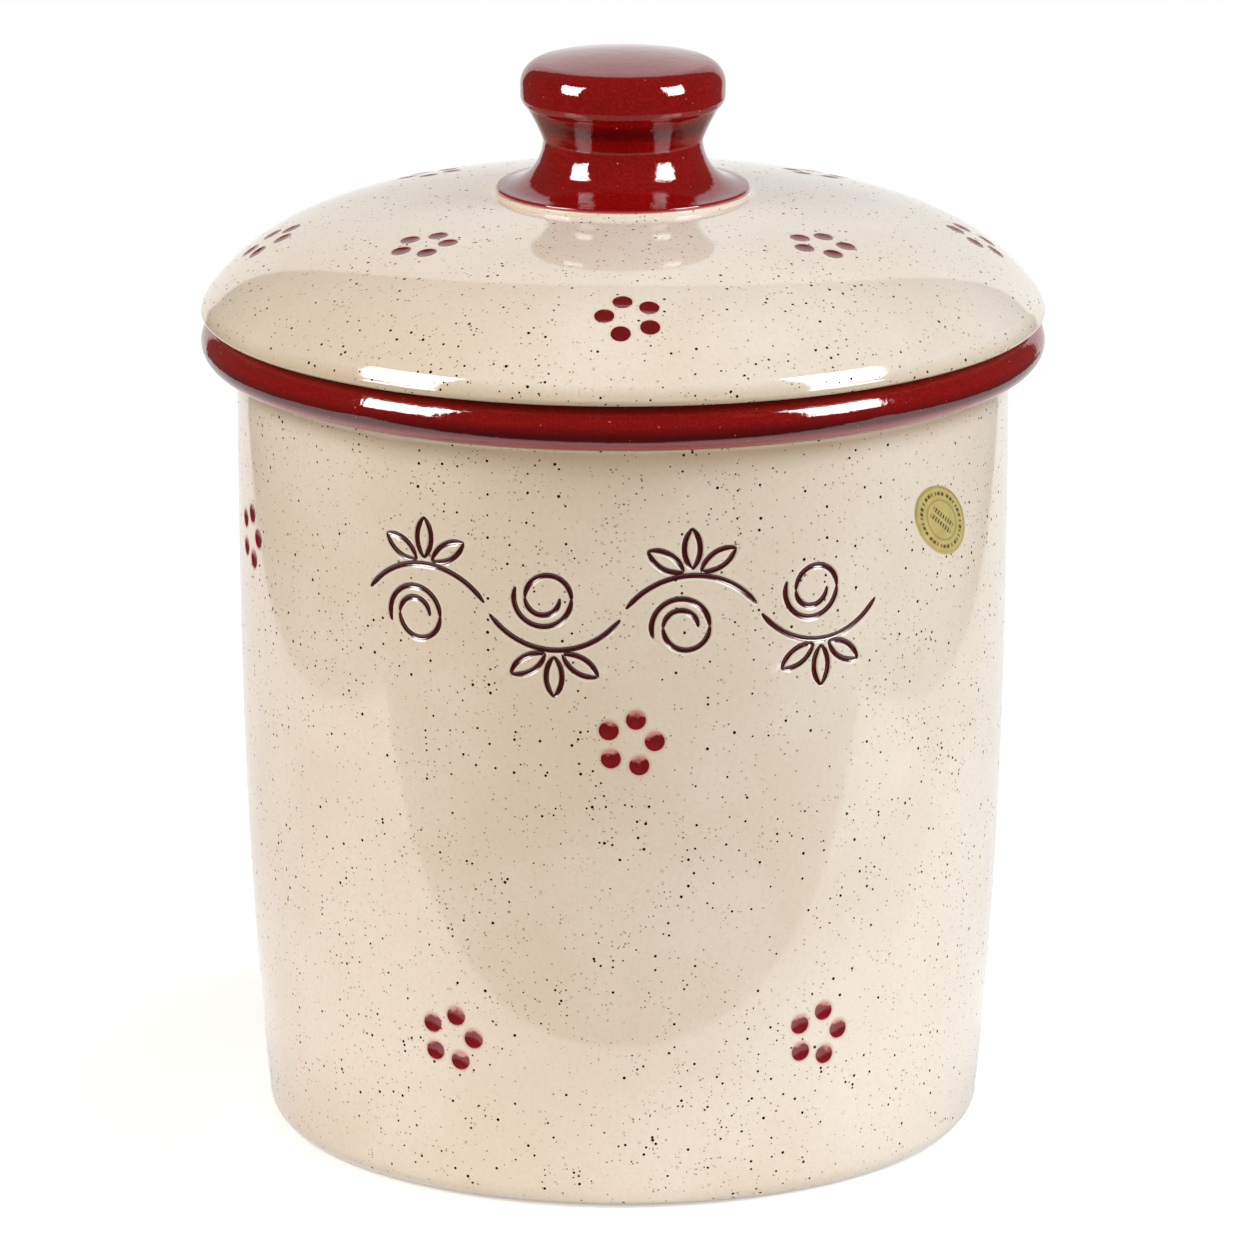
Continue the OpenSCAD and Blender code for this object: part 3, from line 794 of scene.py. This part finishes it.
# %% [markdown]
# ## The glaze in the dots
# One dot is modelled as a shallow dish: a circle, extruded and scaled inwards ring by ring, with its
# points let down to the bowl's shape and a little thickness added. Copies of it, each with its own
# mesh, go to every place, and they are joined into one piece for the crock and one for the lid. The
# lid's dots are shallower, because the glaze lies level in them.

# %% One dot of glaze
def glaze_dot(depth):
    """A dish of glaze at the origin, with its middle let down by a depth."""
    bpy.ops.object.select_all(action="DESELECT")
    bpy.ops.mesh.primitive_circle_add(vertices=32, radius=(DOT_R + 0.02) * MM, fill_type="NOTHING")
    dot = bpy.context.object
    bpy.ops.object.mode_set(mode="EDIT")
    bpy.ops.mesh.select_mode(type="VERT")
    bpy.ops.mesh.select_all(action="SELECT")
    for ring in range(6, 0, -1):
        shrink = (ring / (ring + 1)) ** 0.8
        bpy.ops.mesh.extrude_edges_move()
        bpy.ops.transform.resize(value=(shrink, shrink, 1))
    bpy.ops.mesh.extrude_edges_move()
    bpy.ops.mesh.merge(type="CENTER")
    bpy.ops.object.mode_set(mode="OBJECT")
    flat = points_of(dot)
    out = np.hypot(flat[:, 0], flat[:, 1]) / (DOT_R + 0.02)
    flat[:, 2] = -0.04 - (depth - 0.04) * np.clip(1 - out**2, 0, 1)
    layer = dot.data.uv_layers.new(name="glaze_map")
    for loop in dot.data.loops:
        x, y = flat[loop.vertex_index, :2] / (2 * DOT_R) + 0.5
        layer.data[loop.index].uv = (x, y)
    put_points(dot, flat)
    bpy.ops.object.mode_set(mode="EDIT")
    bpy.ops.mesh.select_all(action="SELECT")
    bpy.ops.mesh.normals_make_consistent(inside=False)
    bpy.ops.object.mode_set(mode="OBJECT")
    if sum(p.normal.z for p in dot.data.polygons) < 0:
        dot.data.flip_normals()
    thicken(dot, 0.12, 60)
    return dot


def scatter(name, dot, seats):
    """A copy of the dot at each seat, joined into one piece."""
    copies = []
    for matrix in seats:
        copy = dot.copy()
        copy.data = dot.data.copy()
        copy.data.transform(matrix)
        scene.collection.objects.link(copy)
        copies.append(copy)
    piece = join(name, copies)
    bpy.data.objects.remove(dot)
    print(name, len(seats), "dots,", len(piece.data.polygons), "faces")
    return piece


wall_dots = scatter("wall_dots", glaze_dot(0.55), WALL_DOTS)
finish_piece(wall_dots, "crock", "dot_glaze", wall_dot_red, stands_for=("crock_dot_glaze",))
lid_dots = scatter("lid_dots", glaze_dot(0.36), LID_DOTS)
finish_piece(lid_dots, "lid", "dot_glaze", lid_dot_red, stands_for=("lid_dot_glaze",))

# %% [markdown]
# ## The glaze in the carved line
# Each stroke is filled with a narrow ribbon of dark glaze. A flat grid is the start: its length is
# wound along the stroke and its width goes across, hollowed a little, as glaze sinks while it melts.
# Its own map, named glaze_map as in the dots, runs across it. All ribbons face outwards, and they get
# a thickness that closes against the groove.

# %% One ribbon of glaze
def ribbon(stroke, bay_turn, flip):
    """The glaze of one stroke, in its groove: flip is -1 in a bay whose arch hangs down."""
    cx, cy, radius, start, end = stroke
    length = radius * math.radians(end - start)
    parts = max(8, round(length / 0.45))
    bpy.ops.object.select_all(action="DESELECT")
    bpy.ops.mesh.primitive_grid_add(x_subdivisions=parts, y_subdivisions=6, size=2)
    piece = bpy.context.object
    piece.data.uv_layers[0].name = "glaze_map"
    flat = points_of(piece) * MM
    along, across = (flat[:, 0] + 1) / 2, flat[:, 1]
    pressure = taper(along, length)
    tip = np.sqrt(np.clip(np.minimum(along, 1 - along) * length / 0.5, 0.02, 1))
    side = across * LINE_W * 0.5 * pressure * tip
    a = np.radians(start + (end - start) * along)
    x, y = cx + (radius + side) * np.cos(a), cy + (radius + side) * np.sin(a)
    z = SCROLL_Z + y * flip
    depth = (0.06 + 0.22 * (1 - across**2)) * pressure
    out = wall_r(z) - depth
    turn = math.radians(bay_turn) + np.arcsin(x / out)
    put_points(piece, np.column_stack([out * np.sin(turn), -out * np.cos(turn), z]))
    return piece


# %% All the ribbons
line = join("scroll_line", [ribbon(stroke, *bay) for bay in BAY_TURNS for stroke in STROKES])
middles, normals = face_middles(line), np.array([p.normal for p in line.data.polygons])
pick_faces(line, (middles[:, :2] * normals[:, :2]).sum(1) < 0)
bpy.ops.mesh.flip_normals()
bpy.ops.object.mode_set(mode="OBJECT")
thicken(line, 0.25, 50)
finish_piece(line, "crock", "line_glaze", line_red, stands_for=("scroll_glaze",))
print("scroll line:", len(line.data.polygons), "faces")

# %% [markdown]
# ## The foil label
# A small oval of gold foil is stuck to the wall. It is a circle, filled by rings towards its middle,
# drawn out to an oval, leant over and wound round the wall. Two rings are embossed. Its print is a thin
# ring, a wreath of ticks and two rows of strokes, which say nothing, and the same mask darkens the
# foil along its border.

# %% The label's disc
LABEL_TURN, LABEL_Z, LABEL_LEAN = math.radians(54), 171.0, math.radians(-35)
LABEL_LONG, LABEL_SHORT, LABEL_RINGS = 12.6, 7.8, 30
bpy.ops.object.select_all(action="DESELECT")
bpy.ops.mesh.primitive_circle_add(vertices=96, radius=1, fill_type="NOTHING")
label = bpy.context.object
label.name = label.data.name = "foil_oval"
bpy.ops.object.mode_set(mode="EDIT")
bpy.ops.mesh.select_mode(type="VERT")
bpy.ops.mesh.select_all(action="SELECT")
for ring in range(LABEL_RINGS - 1, 0, -1):
    shrink = ring / (ring + 1)
    bpy.ops.mesh.extrude_edges_move()
    bpy.ops.transform.resize(value=(shrink, shrink, 1))
bpy.ops.mesh.extrude_edges_move()
bpy.ops.mesh.merge(type="CENTER")
bpy.ops.object.mode_set(mode="OBJECT")
disc = points_of(label) * MM
print("label's disc:", len(disc), "points")


# %% Emboss, print and wind it round the wall
def bell(value, middle, width):
    """1 at the middle, falling softly to 0 on both sides."""
    return np.exp(-(((value - middle) / width) ** 2))


BORDER, RING, WREATH = 0.93, 0.58, 0.77
x, y = disc[:, 0], disc[:, 1]
out, turn = np.hypot(x, y), np.arctan2(y, x)
raised = 0.05 * (bell(out, BORDER, 0.035) + bell(out, RING, 0.03))
ticks = (np.abs(out - WREATH) < 0.06) * (np.cos(turn * 32 + np.sin(turn * 5)) > 0.1)
strokes = (np.abs(np.abs(y) - 0.12) < 0.07) * (np.abs(x) < 0.42) * (np.cos(x * 60) > 0)
# The mask also darkens the foil along its border.
print_and_dark_border = np.clip(ticks + strokes + bell(out, RING, 0.015) + 0.3 * (out > BORDER), 0, 1) * 0.9
along, across = x * LABEL_LONG, y * LABEL_SHORT
x = along * math.cos(LABEL_LEAN) - across * math.sin(LABEL_LEAN)
z = LABEL_Z + along * math.sin(LABEL_LEAN) + across * math.cos(LABEL_LEAN)
away = wall_r(z) + 0.12 + raised - 0.06 * np.clip((out - 0.96) / 0.04, 0, 1)
a = LABEL_TURN + np.arcsin(x / away)
put_points(label, np.column_stack([away * np.sin(a), -away * np.cos(a), z]))
note(label, "print_and_dark_border", print_and_dark_border)

# %% Finish of the label
middles, normals = face_middles(label), np.array([p.normal for p in label.data.polygons])
if (middles[:, :2] * normals[:, :2]).sum() < 0:
    label.data.flip_normals()
thicken(label, 0.1, 60)
finish_piece(label, "crock", "gold_foil", foil, stands_for=("foil_label",))
print("label:", len(label.data.polygons), "faces")

# %% [markdown]
# ## The studio
# A small white table with an arched white sheet behind it stands in a dark room, and two square lamps
# stand to the sides. A glossy pot shows all of that: the table's front edge draws a soft U on the wall,
# the sheet's upper edge a line on the lid, and the lamps square spots. The spots and the sheet are cards
# that only reflections see, so that they don't burn out the colours. The light itself comes from the
# world, which is white to the camera, and from three broad lamps that show in no reflection: one on
# each side and a weak one in front.

# %% Floor
TABLE_HALF, TABLE_FRONT, TABLE_BACK = 0.5, -0.19, 1.0


def empty_recipe(name):
    """A new material and its empty tree."""
    mat = bpy.data.materials.new(name)
    mat.use_nodes = True
    mat.node_tree.nodes.clear()
    return mat, mat.node_tree


def by_ray(tree, kind, other, chosen):
    """The chosen shader for one kind of ray, and the other one for the rest."""
    ray = put(tree, "LightPath").outputs[kind]
    return put(tree, "MixShader", {0: ray, 1: other, 2: chosen}).outputs[0]


def studio_white(name, seen, near, far):
    """White with the pot's shadow: seen is its glow by the pot, near and far its light in reflections."""
    mat, tree = empty_recipe(name)
    place = put(tree, "TexCoord").outputs["Object"]
    paint = put(tree, "BsdfDiffuse", {"Color": (0.86, 0.86, 0.86, 1)}).outputs[0]
    away = put(tree, "VectorMath", {0: place}, operation="LENGTH").outputs["Value"]
    glow = put(tree, "Emission", {"Strength": step(tree, away, 0.12, 0.3, seen, 1.0)}).outputs[0]
    lifted = put(tree, "AddShader", {0: paint, 1: glow}).outputs[0]
    depth = put(tree, "SeparateXYZ", {0: place}).outputs[1]
    light = step(tree, depth, TABLE_FRONT - 0.08, 0.24, near, far)
    # Painted shadow: in reflections the table is dimmer close to the pot.
    light = reckon(tree, "MULTIPLY", light, step(tree, away, 0.09, 0.15, 0.6, 1.0))
    mirrored = put(tree, "Emission", {"Strength": light}).outputs[0]
    direct = by_ray(tree, "Is Camera Ray", paint, lifted)
    put(tree, "OutputMaterial", {"Surface": by_ray(tree, "Is Glossy Ray", direct, mirrored)})
    return mat


def card(name, corners, mat):
    """A flat card through four corners."""
    bpy.ops.object.select_all(action="DESELECT")
    bpy.ops.mesh.primitive_plane_add(size=2)
    sheet = bpy.context.object
    sheet.name = sheet.data.name = name
    for vertex, corner in zip(sheet.data.vertices, corners):
        vertex.co = corner
    sheet.data.materials.append(mat)
    return sheet


table_white = studio_white("table_white", 0.4, 1.75, 1.0)
table_corners = [(x, y, 0) for y in (TABLE_FRONT, TABLE_BACK) for x in (-TABLE_HALF, TABLE_HALF)]
table = card("table", table_corners, table_white)
print(table.name, TABLE_HALF * 2, "m wide")

# %% Cards that only reflections see
def glow_card(name, corners, strength):
    """A card that shines, but only in reflections."""
    mat, tree = empty_recipe(name)
    glow = put(tree, "Emission", {"Strength": strength})
    put(tree, "OutputMaterial", {"Surface": glow.outputs[0]})
    sheet = card(name, corners, mat)
    sheet.visible_camera = sheet.visible_diffuse = sheet.visible_shadow = False
    sheet.visible_transmission = sheet.visible_volume_scatter = False
    return sheet


def arch(name, middle, half, height, strength):
    """An arched sheet at the table's back, a little squarer than half an ellipse."""
    sheet = glow_card(name, [(0, 0, 0)] * 4, strength)
    bpy.context.view_layer.objects.active = sheet
    bpy.ops.object.mode_set(mode="EDIT")
    bpy.ops.mesh.select_mode(type="VERT")
    bpy.ops.mesh.select_all(action="SELECT")
    bpy.ops.mesh.delete(type="VERT")
    bpy.ops.mesh.primitive_circle_add(vertices=64, radius=1, fill_type="NGON")
    bpy.ops.object.mode_set(mode="OBJECT")
    for vertex in sheet.data.vertices:
        x, z = vertex.co.x, max(vertex.co.y, 0)
        vertex.co = (middle + half * math.copysign(abs(x) ** 0.8, x), TABLE_BACK, height * z ** 0.8)
    return sheet


backdrop = arch("backdrop", 0.05, 0.64, 1.42, 1.04)


def toward(turn, up):
    """The direction from the pot that is turned to the right of the camera and raised, in degrees."""
    t, e = math.radians(turn), math.radians(up)
    return Vector((math.sin(t) * math.cos(e), -math.cos(t) * math.cos(e), math.sin(e)))


LAMP_CORNERS, LAMP_EYE_Z, LAMP_GLOW = ((50, 14), (71, 14), (54, 50), (86, 43)), 0.22, 26


def lamp_card(name, side):
    """A square lamp a metre from the pot, through four directions: side is -1 for the left one."""
    eye = Vector((0, 0, LAMP_EYE_Z))
    corners = [eye + toward(turn * side, up) for turn, up in LAMP_CORNERS]
    return glow_card(name, corners, LAMP_GLOW)


lamps = [lamp_card("lamp_left", -1), lamp_card("lamp_right", 1)]
print("cards:", backdrop.name, [c.name for c in lamps])

# %% World and soft lamps
world = bpy.data.worlds.new("room")
scene.world = world
world.use_nodes = True
tree = world.node_tree
tree.nodes.clear()
room = put(tree, "Background", {"Color": (1.0, 0.91, 0.79, 1), "Strength": 0.33}).outputs[0]
dark = put(tree, "Background", {"Color": (1.0, 0.9, 0.78, 1), "Strength": 0.12}).outputs[0]
white = put(tree, "Background", {"Color": (1, 1, 1, 1), "Strength": 1.0}).outputs[0]
sky = by_ray(tree, "Is Camera Ray", by_ray(tree, "Is Glossy Ray", room, dark), white)
put(tree, "OutputWorld", {"Surface": sky})


LAMP_SIZE, LAMP_AIM_Z, LAMP_AWAY = 0.6, 0.15, 1.3


def soft_lamp(name, turn, up, power, colour):
    """A broad lamp that aims at the pot and shows in no reflection."""
    data = bpy.data.lights.new(name, "AREA")
    data.color = colour
    data.shape, data.size, data.energy = "SQUARE", LAMP_SIZE, power
    lamp = bpy.data.objects.new(name, data)
    scene.collection.objects.link(lamp)
    away = toward(turn, up)
    lamp.location = Vector((0, 0, LAMP_AIM_Z)) + away * LAMP_AWAY
    lamp.rotation_euler = away.to_track_quat("Z", "Y").to_euler()
    lamp.visible_glossy = False
    return lamp


soft_lamps = [soft_lamp("soft_left", -72, 33, 9.0, (1.0, 0.98, 0.96))]
soft_lamps.append(soft_lamp("soft_right", 72, 33, 11.2, (0.89, 1.0, 1.15)))
soft_lamps.append(soft_lamp("soft_front", 6, 5, 4.4, (1.0, 0.97, 0.88)))
print("world and", len(soft_lamps), "soft lamps")
